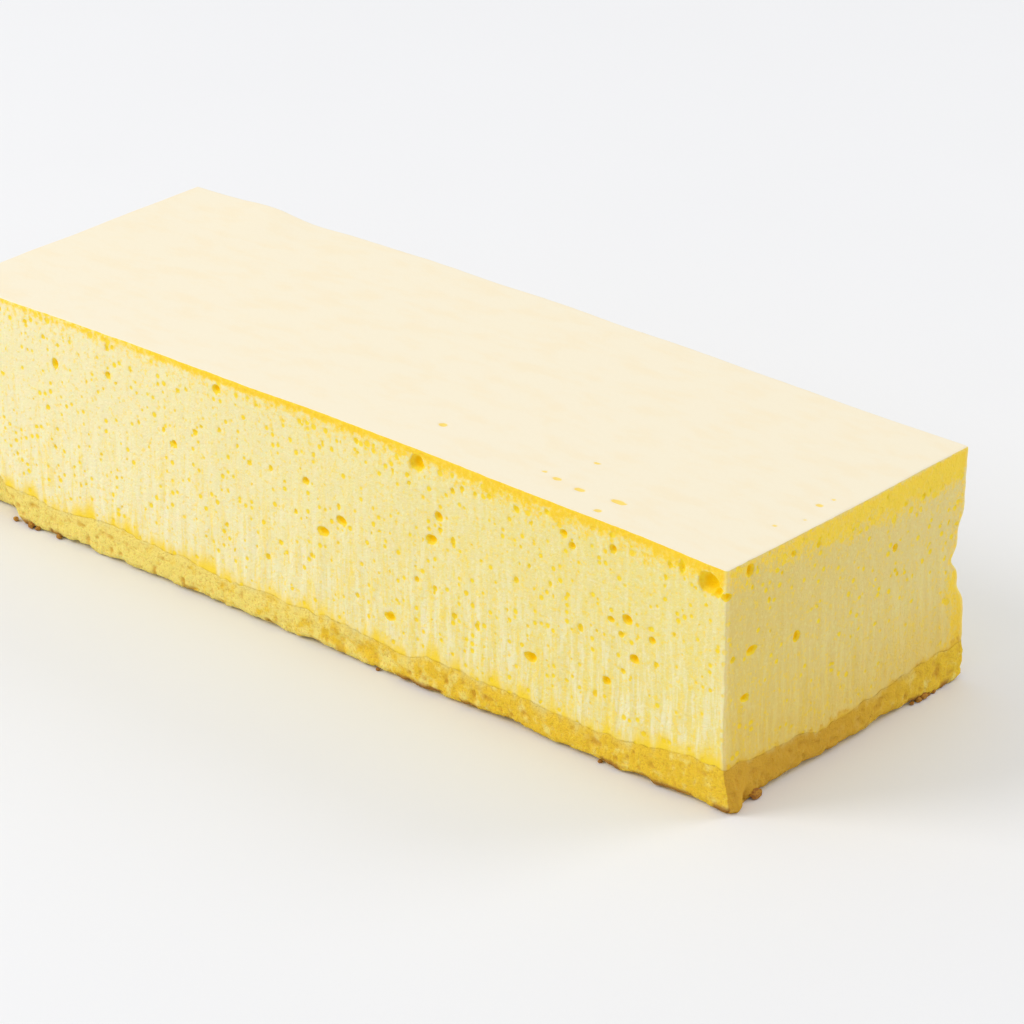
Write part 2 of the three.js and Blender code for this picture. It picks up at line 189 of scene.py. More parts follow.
# Crumbs on the table against the sponge, (along, across, size).
CRUMBS = [
    (93.1, -24.5, 2.0), (92.9, -23.0, 1.0), (92.8, 19.8, 0.8), (92.9, 21.5, 1.2),
    (92.9, 23.2, 1.5), (92.8, 24.4, 0.8), (92.8, 25.8, 1.1), (-78.6, -32.3, 1.1),
    (-74.2, -32.4, 1.5), (-72.6, -32.5, 1.0), (-67.0, -32.3, 1.2), (14.5, -32.3, 0.9),
    (66.0, -32.2, 0.8), (-93.2, -12.0, 1.3), (-93.0, 14.0, 1.0), (-40.0, 32.5, 1.2),
    (31.0, 32.4, 1.4),
]
CRUMB_SHAPE = {
    "coarse": 0.4, "coarse_pitch": 0.6, "fine": 0.16, "fine_pitch": 0.18, "shift": 9,
    "stretch": (0.8, 1.3), "flat": 0.8, "sunk": 0.35, "table": 0.02,
}


def length_setting(name, description, metres):
    """A length that the sidebar shows with its unit."""
    return bpy.props.FloatProperty(
        name=name, description=description, default=metres, unit="LENGTH"
    )


def count_setting(name, description, count):
    """A number of things."""
    return bpy.props.IntProperty(name=name, description=description, default=count)


def colour_setting(name, description, colour):
    """A colour that the sidebar shows as a swatch."""
    return bpy.props.FloatVectorProperty(
        name=name, description=description, default=colour, subtype="COLOR"
    )


def angle_setting(name, description, degrees):
    """An angle that the sidebar shows in degrees."""
    return bpy.props.FloatProperty(
        name=name, description=description, default=math.radians(degrees), subtype="ANGLE"
    )


def number_setting(name, description, number):
    """A number without a unit of its own in the sidebar."""
    return bpy.props.FloatProperty(name=name, description=description, default=number)


class BarSizes(bpy.types.PropertyGroup):
    """The trimmed bar and its two layers."""

    length: length_setting("Length", "Length of the bar", 0.186)
    width: length_setting("Width", "Width of the bar", 0.065)
    height: length_setting("Height", "Height at the two ends", 0.045)
    crown: length_setting("Crown", "How much higher the top is halfway along", 0.0011)
    sponge: length_setting("Sponge", "Mean height of the sponge", 0.0065)
    upright_round: length_setting("Upright edges", "Rounding of the four upright edges", 0.0005)
    rim_round: length_setting("Rim", "Rounding of the top's rim", 0.00035)


class AirHoles(bpy.types.PropertyGroup):
    """How many small air holes are strewn over each face, besides the named ones."""

    front: count_setting("Front", "Holes on the front", 70)
    back: count_setting("Back", "Holes on the back", 80)
    right: count_setting("Right", "Holes on the right end", 10)
    left: count_setting("Left", "Holes on the left end", 22)
    rim_row: count_setting("Rim row", "Holes close under each long rim", 54)


class CheeseFinish(bpy.types.PropertyGroup):
    """Colours of the cheese."""

    cut: colour_setting("Cut face", "Colour of the aerated cut faces", (0.845, 0.728, 0.285))
    # Painted light: a lighter copy of the cut colour, towards the left end and the far side of the
    # short faces, where more light falls.
    cut_painted_light: colour_setting(
        "Cut face, left", "Paler colour of the cut faces towards the left end", (0.88, 0.79, 0.46)
    )
    # Painted shade: a darker copy of the cut colour for the two short faces, which stand in shade.
    cut_end_painted_shade: colour_setting("Cut ends", "Deeper colour of the two short faces", (0.78, 0.60, 0.19))
    # Besides the dragged ridges, this colour paints the highlight along the upright edges.
    pale: colour_setting(
        "Pale ridges", "Ridges that the knife dragged up, and dried edges", (0.89, 0.83, 0.54)
    )
    pore: colour_setting("Pores", "Colour inside the fine pores", (0.96, 0.69, 0.03))
    hole: colour_setting("Air holes", "Colour inside the larger holes", (0.95, 0.56, 0.0))
    skin: colour_setting(
        "Skin", "Yellow of the dense band under the top's rim", (0.98, 0.68, 0.07)
    )
    rim: colour_setting(
        "Rim line", "Golden line close under the rim of the long faces", (0.93, 0.62, 0.04)
    )
    top: colour_setting("Top", "Colour of the top", (0.915, 0.825, 0.63))
    blush: colour_setting("Blush", "Faint warmer mottling of the top", (0.915, 0.795, 0.57))


class SpongeFinish(bpy.types.PropertyGroup):
    """Colours of the sponge and its crumbs."""

    crumb: colour_setting("Crumb", "Golden crumb of the sponge", (0.94, 0.62, 0.045))
    light: colour_setting("Light crumb", "Lighter patches of the crumb", (0.99, 0.785, 0.20))
    # Besides the insides of the cells, this colour paints shade on the short faces of the sponge.
    deep: colour_setting("Deep crumb", "Colour inside the cells of the crumb", (0.70, 0.385, 0.04))
    crust: colour_setting("Crust", "Browned bits along the underside", (0.36, 0.15, 0.035))


class StageSettings(bpy.types.PropertyGroup):
    """Floor, lights and camera."""

    floor: colour_setting("Floor", "Colour of the floor", (0.86, 0.86, 0.875))
    azimuth: angle_setting("Azimuth", "Where the camera stands, turned from the front", 41.5)
    elevation: angle_setting("Elevation", "How far the camera looks down", 25.3)
    place: bpy.props.FloatVectorProperty(
        name="Camera",
        description="Where the camera stands",
        default=(0.5168, -0.5644, 0.3767),
        subtype="TRANSLATION",
        unit="LENGTH",
    )
    lens: number_setting("Lens", "Focal length in millimetres", 163.8)
    window: number_setting("Window", "Power in watts of the light from the front left", 7.5)
    back_window: number_setting("Back window", "Power in watts of the light from behind", 3.6)
    sky: number_setting("Sky", "Strength of the even light all round", 0.75)


# --- Rules of the shape, on arrays of millimetres ---


def hump(distance, reach):
    """A hump of height 1 whose flanks end about twice its reach away."""
    return np.exp(-((distance / reach) ** 2))


def ease(value, low, high):
    """Goes smoothly from 0 at low to 1 at high."""
    part = np.clip((value - low) / (high - low), 0, 1)
    return part * part * (3 - 2 * part)


def mix(a, b, part):
    """Goes straight from a to b."""
    return a + (b - a) * part


def chance(column, row, seed):
    """A steady random number from 0 to 1 for each crossing of a square net."""
    mixed = np.sin(column * 12.9898 + row * 78.233 + seed * 37.719) * 43758.5453
    return mixed - np.floor(mixed)


def dapple(u, v, pitch, seed):
    """A smooth uneven surface from -1 to 1 whose lumps are one pitch apart."""
    column, row = np.floor(u / pitch), np.floor(v / pitch)
    across = ease(u / pitch - column, 0, 1)
    up = ease(v / pitch - row, 0, 1)
    near = mix(chance(column, row, seed), chance(column + 1, row, seed), across)
    far = mix(chance(column, row + 1, seed), chance(column + 1, row + 1, seed), across)
    return 2 * mix(near, far, up) - 1


def dapples(u, v, layers, seed):
    """A sum of dapples: for each layer its height, its pitch and how tall it is to its width."""
    return sum(
        height * dapple(u, v / tall, pitch, seed + number)
        for number, (height, pitch, tall) in enumerate(layers)
    )


class Bar:
    """The plain block in millimetres, and where its cut and torn surface really lies."""

    def __init__(self, sizes):
        self.half_length = sizes.length / MM / 2
        self.half_width = sizes.width / MM / 2
        self.height = sizes.height / MM
        self.crown = sizes.crown / MM
        self.sponge = sizes.sponge / MM
        self.upright_round = sizes.upright_round / MM
        self.rim_round = sizes.rim_round / MM

    def top(self, x, y):
        crown = self.crown * (1 - (x / self.half_length) ** 2)
        far_rim = hump(y - self.half_width, FAR_RIM_REACH)
        bump = RIM_BUMP["height"] * hump(x - RIM_BUMP["x"], RIM_BUMP["reach"])
        dip = RIM_DIP["height"] * hump(x - RIM_DIP["x"], RIM_DIP["reach"])
        waver = dapples(x, y, TOP_WAVER, SEEDS["top"])
        return self.height + crown + far_rim * (bump + dip) + waver

    def depth_inside(self, x, y):
        return np.minimum(self.half_length - np.abs(x), self.half_width - np.abs(y))

    def seam(self, x, y):
        """Ragged at the sides, level within, with small tongues of cheese pulled down over it."""
        ragged = 1 - ease(self.depth_inside(x, y), 0, SEAM_CALM)
        scallops = SEAM_SCALLOP * dapples(x, y, SEAM_WAVES, SEEDS["seam"])
        corner = np.hypot(x - self.half_length, y + self.half_width)
        risen = SEAM_RISE["height"] * hump(corner, SEAM_RISE["reach"])
        dragged = hump(x - SEAM_DRAG["x"], SEAM_DRAG["reach"])
        dragged = dragged * hump(y + self.half_width, SEAM_DRAG["inwards"])
        grain = dapples(x, y, SEAM_GRAIN, SEEDS["seam_grain"])
        return self.sponge + ragged * (scallops + risen - SEAM_DRAG["depth"] * dragged + grain)

    def lower_edge(self, x, y):
        """How high the crumbled lower edge of the sponge lies above the table."""
        crumbled = 0.5 + dapples(x, y, CRUMBLED_WAVES, SEEDS["crumbled"])
        crumbled = LOWER_EDGE["crumbled"] * crumbled
        fine = dapples(x, y, CRUMBLED_GRAIN, SEEDS["crumbled_grain"])
        corner = np.hypot(x - self.half_length, y - self.half_width)
        worn = WORN_CORNER["height"] * hump(corner, WORN_CORNER["reach"])
        from_fin = np.hypot(x - self.half_length, y - SPONGE_FIN["y"])
        whole = WHOLE_FOOT["share"] * hump(corner, WHOLE_FOOT["reach"])
        raised = LOWER_EDGE["round"] + crumbled + fine
        raised = raised * (1 - hump(from_fin, SPONGE_FIN["foot"])) * (1 - whole)
        return np.maximum(LOWER_EDGE["least"], raised + worn)

    def front_relief(self, x, z):
        behind_edge = ease(CHIP["x"] - CHIP["lean"] * z - x, 0, CHIP["slope"])
        below_lip = 1 - ease(z, CHIP["top"] - CHIP["lip"], CHIP["top"])
        chip = CHIP["depth"] * behind_edge * below_lip
        crevice = SPONGE_FLAP["crevice"] * hump(x - SPONGE_FLAP["x"], SPONGE_FLAP["reach"])
        crevice = crevice * hump(z - SPONGE_FLAP["z"], SPONGE_FLAP["tall"])
        return dapples(x, z, CUT_WAVER, SEEDS["front"]) - chip - crevice

    def back_relief(self, x, z):
        """Torn at the right end: an overhang, a notch under it and a belly down to the sponge."""
        undercut = OVERHANG["undercut"] * (1 - ease(z, *OVERHANG["heights"]))
        notch = NOTCH["depth"] * hump(z - NOTCH["z"], NOTCH["reach"])
        belly = BELLY["out"] * (1 - ease(z, *BELLY["heights"]))
        torn = OVERHANG["out"] - undercut - notch + belly
        near_end = ease(x, self.half_length - OVERHANG["along"], self.half_length)
        return dapples(x, z, CUT_WAVER, SEEDS["back"]) + near_end * torn

    def fin(self, y, z):
        """A tongue of crumb that the knife pushed out at the foot of an end."""
        out = SPONGE_FIN["out"] * hump(y - SPONGE_FIN["y"], SPONGE_FIN["reach"])
        return out * (1 - ease(z, *SPONGE_FIN["heights"]))

    def right_relief(self, y, z):
        nick = SPONGE_NICK["depth"] * hump(y - SPONGE_NICK["y"], SPONGE_NICK["reach"])
        nick = nick * (1 - ease(z, *SPONGE_NICK["heights"]))
        return dapples(y, z, CUT_WAVER, SEEDS["right"]) + self.fin(y, z) - nick

    def left_relief(self, y, z):
        return dapples(y, z, CUT_WAVER, SEEDS["left"]) + self.fin(-y, z)

    def faces(self, x, y):
        """Each upright face: its name, the places along it, those across it and where it lies."""
        return (
            ("front", x, -y, self.half_width),
            ("back", x, y, self.half_width),
            ("right", y, x, self.half_length),
            ("left", y, -x, self.half_length),
        )

    def rounded_plan(self, x, y):
        """Draws the four upright edges of the block in to their rounding."""
        core_x = np.clip(
            x, self.upright_round - self.half_length, self.half_length - self.upright_round
        )
        core_y = np.clip(
            y, self.upright_round - self.half_width, self.half_width - self.upright_round
        )
        out_x, out_y = x - core_x, y - core_y
        reach = np.maximum(np.hypot(out_x, out_y), 1e-9)
        share = np.maximum(np.abs(out_x), np.abs(out_y)) / reach
        return core_x + out_x * share, core_y + out_y * share

    def shaped(self, x, y, z, fine):
        """Moves points of the plain block to the real surface; fine adds relief for each face."""
        across_ends = (np.abs(x) / self.half_length) ** END_FADE
        across_sides = (np.abs(y) / self.half_width) ** SIDE_FADE
        right = self.right_relief(y, z) + fine["right"]
        left = self.left_relief(y, z) + fine["left"]
        front = self.front_relief(x, z) + fine["front"]
        back = self.back_relief(x, z) + fine["back"]
        plan_x, plan_y = self.rounded_plan(x, y)
        moved_x = plan_x + across_ends * np.where(x > 0, right, -left)
        moved_y = plan_y + across_sides * np.where(y > 0, back, -front)
        return moved_x, moved_y


def strewn(draws, count, reach, heights, halves):
    """Small holes spread evenly along a face, each a little out of place and out of round."""
    found = []
    for i in range(count):
        along = mix(-reach, reach, (i + draws.random()) / count)
        half = mix(*halves, draws.random() ** 2)
        tall = half * mix(*STRAY_TALL, draws.random())
        found.append((along, mix(*heights, draws.random()), half, tall))
    return found


def hole_lists(bar, holes):
    """The named holes of every face and the strays between them."""
    draws = np.random.default_rng(SEEDS["strays"])
    named = {"front": FRONT_HOLES, "back": [], "right": RIGHT_HOLES, "left": []}
    found = {"level": TOP_HOLES}
    for face, chosen in named.items():
        long_face = face in ("front", "back")
        reach = (bar.half_length if long_face else bar.half_width) - STRAYS["border"]
        strays = strewn(draws, getattr(holes, face), reach, STRAYS["height"], STRAYS["half"])
        in_row = holes.rim_row // (1 if long_face else RIM_ROW["share_on_ends"])
        row = strewn(draws, in_row, reach, RIM_ROW["height"], RIM_ROW["half"])
        found[face] = chosen + strays + row
    return found


def hollow(u, v, holes):
    """How deep in a hole each point lies, from 0 at the rim to 1, and the depth in millimetres."""
    inside = np.zeros_like(u)
    depth = np.zeros_like(u)
    margin = HOLE_BOWL["margin"]
    for along, z, half, tall in holes:
        near = (np.abs(u - along) < margin * half) & (np.abs(v - z) < margin * tall)
        if not near.any():
            continue
        du, dv = (u[near] - along) / half, (v[near] - z) / tall
        ragged = 1 + dapples(u[near], v[near], HOLE_EDGE, SEEDS["hole"])
        bowl = np.clip(1 - (du * du + dv * dv) * ragged, 0, 1) ** HOLE_BOWL["round"]
        inside[near] = np.maximum(inside[near], bowl * min(1.0, half / HOLE_BOWL["full_size"]))
        steepness = mix(*HOLE_BOWL["steepness"], min(1.0, half))
        depth[near] = np.maximum(depth[near], bowl * steepness * min(half, tall))
    return inside, depth


def clumps(u, v, pitch, seed):
    """Rounded clumps packed side by side, 1 at their crowns and 0 in the clefts between."""
    column, row = np.floor(u / pitch), np.floor(v / pitch)
    nearest = np.full_like(u, 4.0)
    for over in (-1, 0, 1):
        for up in (-1, 0, 1):
            middle_u = column + over + chance(column + over, row + up, seed)
            middle_v = row + up + chance(column + over, row + up, seed + 50)
            gap = (u / pitch - middle_u) ** 2 + (v / pitch - middle_v) ** 2
            nearest = np.minimum(nearest, gap)
    return np.clip(1 - nearest, 0, 1)


def golden_share(on_end, along, above_seam, seed):
    """How much of the colour is sponge: its border wanders in the streaks that the knife drew."""
    border = dapples(along, above_seam, GOLDEN_STREAKS, seed)
    if on_end:
        tinge = END_TINGE["share"] * (1 - ease(above_seam, 0, END_TINGE["height"]))
        border = GOLDEN_FADE["end_wander"] * border
        return np.maximum(1 - ease(above_seam - border, *GOLDEN_FADE["end"]), tinge)
    return 1 - ease(above_seam - border, *GOLDEN_FADE["long"])


# --- Meshes ---


def cuts_between(half, pitch, borders):
    """Places of the cuts across one direction: even ones, and close ones near both ends."""
    inner = half - borders[-1]
    count = round(2 * inner / pitch)
    even = [mix(-inner, inner, i / count) for i in range(count + 1)]
    return sorted(even + [sign * (half - border) for sign in (-1, 1) for border in borders[:-1]])


def sliced_block(bar, height, pitch, borders, levels):
    """A block of millimetres cut into a coarse net of faces."""
    bm = bmesh.new()
    bmesh.ops.create_cube(bm, size=1.0)
    bmesh.ops.translate(bm, verts=bm.verts, vec=(0, 0, 0.5))
    bmesh.ops.scale(bm, verts=bm.verts, vec=(2 * bar.half_length, 2 * bar.half_width, height))
    places = {
        (1, 0, 0): cuts_between(bar.half_length, pitch, borders),
        (0, 1, 0): cuts_between(bar.half_width, pitch, borders),
        (0, 0, 1): levels,
    }
    for normal, cuts in places.items():
        for place in cuts:
            bmesh.ops.bisect_plane(
                bm,
                geom=bm.verts[:] + bm.edges[:] + bm.faces[:],
                dist=1e-5,
                plane_co=Vector(normal) * place,
                plane_no=normal,
            )
    return bm


def is_upright(face):
    """True for the four cut faces of the plain block."""
    return abs(face.normal.z) < 0.5


def divide_sides(bm, across, upwards, shortest=1.0, level=0.1):
    """Divides the long edges of the upright faces, first along the bar and then upwards."""
    for cuts, upright in ((across, False), (upwards, True)):
        bm.normal_update()
        edges = {
            edge
            for face in bm.faces
            if is_upright(face)
            for edge in face.edges
            if edge.calc_length() > shortest
            and (abs(edge.verts[0].co.z - edge.verts[1].co.z) > level) == upright
        }
        edges = sorted(edges, key=lambda edge: edge.index)
        bmesh.ops.subdivide_edges(bm, edges=edges, cuts=cuts, use_grid_fill=True)
        bm.edges.index_update()


def face_and_place(bar, co):
    """Which face of the plain block a point lies on, and its place along that face."""
    for name, along, place, half in bar.faces(co.x, co.y):
        if abs(place - half) < ON_FACE:
            return name, along, co.z
    return "level", co.x, co.y


def finer_at(bm, bar, block_height, holes_by_face, margin, cuts):
    """Makes the net finer where holes will be sunk, out to a margin round each."""
    bm.normal_update()
    bm.faces.ensure_lookup_table()
    found = [face_and_place(bar, face.calc_center_median()) for face in bm.faces]
    names = np.array([name for name, _, _ in found])
    u = np.array([along for _, along, _ in found])
    v = np.array([up for _, _, up in found])
    wanted = np.zeros(len(names), bool)
    for name, holes in holes_by_face.items():
        height = v if name == "level" else mix(bar.sponge, bar.height, v / block_height)
        for along, place, half, tall in holes:
            off = np.hypot((u - along) / (half + margin), (height - place) / (tall + margin))
            wanted |= (names == name) & (off < 1)
    edges = {edge for i in np.nonzero(wanted)[0] for edge in bm.faces[i].edges}
    edges = sorted(edges, key=lambda edge: edge.index)
    bmesh.ops.subdivide_edges(bm, edges=edges, cuts=cuts, use_grid_fill=True)
    for items in (bm.verts, bm.edges, bm.faces):
        items.index_update()


def mesh_object(bm, name, materials):
    """Turns a finished bmesh into an object of the scene."""
    mesh = bpy.data.meshes.new(name)
    bm.to_mesh(mesh)
    bm.free()
    for material in materials:
        mesh.materials.append(material)
    piece = bpy.data.objects.new(name, mesh)
    bpy.context.scene.collection.objects.link(piece)
    return piece


def places_of(mesh):
    """The places of all points of a mesh, as x, y and z."""
    co = np.empty(3 * len(mesh.vertices))
    mesh.vertices.foreach_get("co", co)
    return co.reshape(-1, 3).T


def set_places(mesh, x, y, z):
    """Writes the finished shape, brought from millimetres to metres."""
    mesh.vertices.foreach_set("co", (np.stack([x, y, z], axis=1) * MM).ravel())
    mesh.update()


def keep_values(mesh, **numbers):
    """Keeps numbers for every point of the mesh, which its material reads by their names."""
    for name, values in numbers.items():
        layer = mesh.attributes.new(name, "FLOAT", "POINT")
        layer.data.foreach_set("value", values.astype(np.float32))


def knife_drag(along, z, seed):
    """Fine upright drags that the knife left, in millimetres, deepest towards the sponge."""
    lower = mix(*DRAG_STRENGTH, 1 - ease(z, *DRAG_FADE))
    drags = dapples(along, z, KNIFE_DRAGS, seed)
    grit = dapples(along, z, KNIFE_GRIT, seed + len(KNIFE_DRAGS))
    return DRAG_DEPTH * lower * drags + GRIT_DEPTH * grit


def skin_band(on_end, along, z, under_top):
    """How strongly the dense yellow band shows: a thin line on the long faces, wide on ends."""
    blotch = dapple(along, z, BLOTCH_PITCH, SEEDS["blotch"])
    if on_end:
        # The strength here is partly painted glow of light through the rim, growing towards the
        # far edge.
        band = END_BAND_AND_GLOW
        painted_light_farther = ease(along, *band["across"])
        waves = band["waves"] * dapple(along, z, band["pitch"], SEEDS["band"])
        reach = mix(*band["reach"], painted_light_farther) + waves + band["blotches"] * blotch
        strength = mix(*band["strength"], painted_light_farther) + band["speckle"] * blotch
        below = 1 - ease(under_top, reach + band["fade"][0], reach + band["fade"][1])
        return strength * ease(under_top, *band["rim"]) * below
    line = 1 - ease(under_top, RIM_LINE["from"], RIM_LINE["to"] + RIM_LINE["blotches"] * blotch)
    line *= mix(*RIM_LINE["strength"], ease(along, *RIM_LINE["along"]))
    waves = FAINT_BAND["waves"] * dapple(along, z, FAINT_BAND["pitch"], SEEDS["faint"])
    faint = FAINT_BAND["share"] + FAINT_BAND["blotches"] * blotch
    faint = faint * (1 - ease(under_top, FAINT_BAND["from"], FAINT_BAND["to"] + waves))
    stronger = mix(*FAINT_BAND["strength"], ease(along, *FAINT_BAND["along"]))
    return np.maximum(line, faint * stronger)


def torn_edge_stain(across, z):
    """Yellow of the torn far edge of the right end, strongest below its notch."""
    waves = TORN_STAIN["waves"] * dapple(across, z, TORN_STAIN["pitch"], SEEDS["stain"])
    reach = TORN_STAIN["reach"] + waves
    low = 1 - ease(z, *(NOTCH["z"] - below for below in TORN_STAIN["below_notch"]))
    edge = TORN_STAIN["edge"]
    return mix(*TORN_STAIN["share"], low) * ease(across, edge - reach, edge)


def build_cheese(scene):
    """The pale layer: knife drags, air holes and a ragged lower edge on all four cut faces."""
    bar = Bar(scene.bar_sizes)
    block = bar.height - bar.sponge
    rim = bar.rim_round
    lists = hole_lists(bar, scene.air_holes)
    level = {"level": lists.pop("level")}
    large = {
        face: [hole for hole in holes if hole[2] > LARGE_HOLE] for face, holes in lists.items()
    }
    first, count = CHEESE_LEVELS["first"], CHEESE_LEVELS["count"]
    last = block - CHEESE_LEVELS["last"]
    levels = [mix(first, last, i / count) for i in range(count + 1)]
    levels += [block - rim, block - rim / 2]
    bm = sliced_block(bar, block, NET_PITCH, NET_BORDERS, levels)
    divide_sides(bm, across=6, upwards=4)
    finer_at(bm, bar, block, level, margin=2.2, cuts=2)
    finer_at(bm, bar, block, level, margin=0.6, cuts=2)
    finer_at(bm, bar, block, lists, margin=0.3, cuts=1)
    finer_at(bm, bar, block, large, margin=0.2, cuts=1)
    for face in bm.faces:
        height = face.calc_center_median().z
        face.smooth = height > LEVEL_WITHIN
        face.material_index = int(height > block - LEVEL_WITHIN)
    piece = mesh_object(bm, "cheese_body_cut", [cut_material(scene), top_material(scene)])
    mesh = piece.data
    x, y, t = places_of(mesh)
    out = np.clip(rim - bar.depth_inside(x, y), 0, rim)
    up = np.clip(t - (block - rim), 0, rim)
    share = np.maximum(out, up) / np.maximum(np.hypot(out, up), 1e-9)
    rounded = (out > 0) & (up > 0)
    drawn_in = np.where(rounded, out * (1 - share), 0)
    t = np.where(rounded, block - rim + up * share, t)
    seam = bar.seam(x, y)
    z = mix(seam - SEAM_SINK, bar.top(x, y), t / block)
    under_top = bar.top(x, y) - z
    on_top = t > block - rim / 4
    inside, skin, smear, ends = (np.zeros_like(x) for _ in range(4))
    fine = {}
    for number, (name, along, place, half) in enumerate(bar.faces(x, y)):
        on_face = (np.abs(place - half) < ON_FACE) & ~on_top
        bowl, depth = hollow(along, z, lists[name])
        drag = knife_drag(along, z, SEEDS["drag"] + 5 * number)
        fine[name] = drag * ease(z - seam, 0, DRAG_ABOVE_SEAM) - depth
        on_end = name in ENDS
        band = skin_band(on_end, along, z, under_top)
        if name == "right":
            band = np.maximum(band, torn_edge_stain(along, z))
        golden = golden_share(on_end, along, z - seam, SEEDS["golden"] + 3 * number)
        for mask, value in ((inside, bowl), (skin, band), (smear, golden)):
            mask[on_face] = np.maximum(mask, value)[on_face]
        ends[on_face] = np.maximum(ends, on_end)[on_face]
    moved_x, moved_y = bar.shaped(x, y, z, fine)
    moved_x *= 1 - drawn_in / bar.half_length
    moved_y *= 1 - drawn_in / bar.half_width
    bowl, depth = hollow(x, y, level["level"])
    inside[on_top] = bowl[on_top]
    grain = dapples(x, y, TOP_GRAIN, SEEDS["top_grain"])
    z = np.where(on_top, z - TOP_HOLE_DEPTH * depth + grain, z)
    set_places(mesh, moved_x, moved_y, z)
    # Painted highlight along the upright edges, where their rounding catches the light.
    corner = np.maximum(bar.half_length - np.abs(x), bar.half_width - np.abs(y))
    highlight = EDGE_HIGHLIGHT["blotches"] * dapple(z, x, EDGE_HIGHLIGHT["pitch"], SEEDS["edge_highlight"])
    highlight = EDGE_HIGHLIGHT["share"] + highlight
    drag = mix(*DRAG_STRENGTH, 1 - ease(z, *DRAG_COLOUR_FADE))
    keep_values(
        mesh,
        hole=inside,
        skin=skin,
        smear=smear,
        ends=ends,
        edge=(1 - ease(corner, *EDGE_HIGHLIGHT["width"])) * highlight,
        drag=drag * (1 - DRAG_WEAKER_ON_ENDS * ends),
        soft=ease(z - seam, *SOFT_FROM_SEAM["cheese"]),
    )
    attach(piece, "root")
    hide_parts("cheese_body")
    return piece


def build_sponge(scene):
    """The golden layer: clumps of open crumb, a ragged seam and a crumbled lower edge."""
    bar = Bar(scene.bar_sizes)
    block = bar.sponge
    levels = [*SPONGE_LEVELS, block - SPONGE_LAST_LEVEL]
    bm = sliced_block(bar, block, NET_PITCH, NET_BORDERS, levels)
    divide_sides(bm, across=8, upwards=3)
    bm.normal_update()
    for face in bm.faces:
        face.smooth = is_upright(face)
    piece = mesh_object(bm, "sponge_base_crumb", [sponge_material(scene)])
    mesh = piece.data
    x, y, t = places_of(mesh)
    seam = bar.seam(x, y)
    low = bar.lower_edge(x, y) * (1 - ease(bar.depth_inside(x, y), *LOWER_EDGE_REACH))
    z = mix(low, seam, t / block)
    under_seam, over_edge = seam - z, z - low
    open_part = ease(under_seam, *OPEN_BELOW_SEAM)
    worn_edge = WORN_EDGE["depth"] * (1 - ease(over_edge, 0, WORN_EDGE["height"]))
    inside, smear, crust, ends = (np.zeros_like(x) for _ in range(4))
    fine = {}
    for number, (name, along, place, half) in enumerate(bar.faces(x, y)):
        on_face = np.abs(place - half) < ON_FACE
        clump = sum(
            size["height"] * clumps(along, z, size["pitch"], SEEDS[seed] + number)
            for size, seed in ((CLUMPS, "clump"), (SMALL_CLUMPS, "small_clump"))
        )
        cells = dapple(along, z, CELLS["pitch"], SEEDS["cell"] + number) - CELLS["rarity"]
        cells = np.clip(cells, 0, 1) * open_part
        crumb = clump - CRUMB_SET_BACK - CELLS["depth"] * cells - worn_edge
        fine[name] = mix(SEAM_LEDGE, crumb, open_part)
        on_end = name in ENDS
        pale = 1 - golden_share(on_end, along, -under_seam, SEEDS["golden"] + 3 * number)
        brown = dapple(along, z / 2, BROWNED["pitch"], SEEDS["browned"] + number)
        brown = ease(brown, *BROWNED["share"]) * (1 - ease(z, *BROWNED["heights"]))
        for mask, value in ((inside, 2 * cells), (smear, pale), (crust, brown), (ends, on_end)):
            mask[on_face] = np.maximum(mask, value)[on_face]
    moved_x, moved_y = bar.shaped(x, y, z, fine)
    set_places(mesh, moved_x, moved_y, z)
    soft = ease(under_seam, *SOFT_FROM_SEAM["sponge"])
    keep_values(
        mesh, hole=np.clip(inside, 0, 1), smear=smear, crust=crust, ends=ends, soft=soft
    )
    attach(piece, "root")
    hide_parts("sponge_base")
    return piece


def build_crumbs(scene):
    """Browned crumbs that lie against the lower edge of the sponge, all joined in one piece."""
    draws = np.random.default_rng(SEEDS["crumbs"])
    shape = CRUMB_SHAPE
    bm = bmesh.new()
    for along, across, size in CRUMBS:
        made = bmesh.ops.create_icosphere(bm, subdivisions=3, radius=size / 2)["verts"]
        first, second = shape["shift"] * draws.random(2)
        for vert in made:
            u, v, w = vert.co / size
            place = u + first + 0.5 * w, v + second - 0.5 * w
            coarse = dapple(*place, shape["coarse_pitch"], SEEDS["crumb"])
            place = u + second + w, v + first - w
            fine = dapple(*place, shape["fine_pitch"], SEEDS["crumb_grain"])
            vert.co *= float(1 + shape["coarse"] * coarse + shape["fine"] * fine)
        stretch = mix(*shape["stretch"], draws.random())
        bmesh.ops.scale(bm, verts=made, vec=(1.0, stretch, shape["flat"]))
        bmesh.ops.translate(bm, verts=made, vec=(along, across, shape["sunk"] * size))
    for vert in bm.verts:
        vert.co.z = max(vert.co.z, shape["table"])
    for face in bm.faces:
        face.smooth = True
    piece = mesh_object(bm, "browned_crumbs", [crust_material(scene)])
    set_places(piece.data, *places_of(piece.data))
    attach(piece, "root")
    return piece


# --- Materials ---


COLOUR_A, COLOUR_B, MIXED_COLOUR = 6, 7, 2  # the colour sockets of a mix node
LIGHT_REACH = (1.0, 0.72, 0.28)  # red light wanders furthest under the surface
DRAGGED_LONG = (1.0, 1.0, 0.12)  # stretches a pattern upwards, the way the knife went
# Colours that change along and across the bar are painted light and shade.
ALONG_REACH, ACROSS_REACH = 90.0, 34.0  # where colours that change along and across end


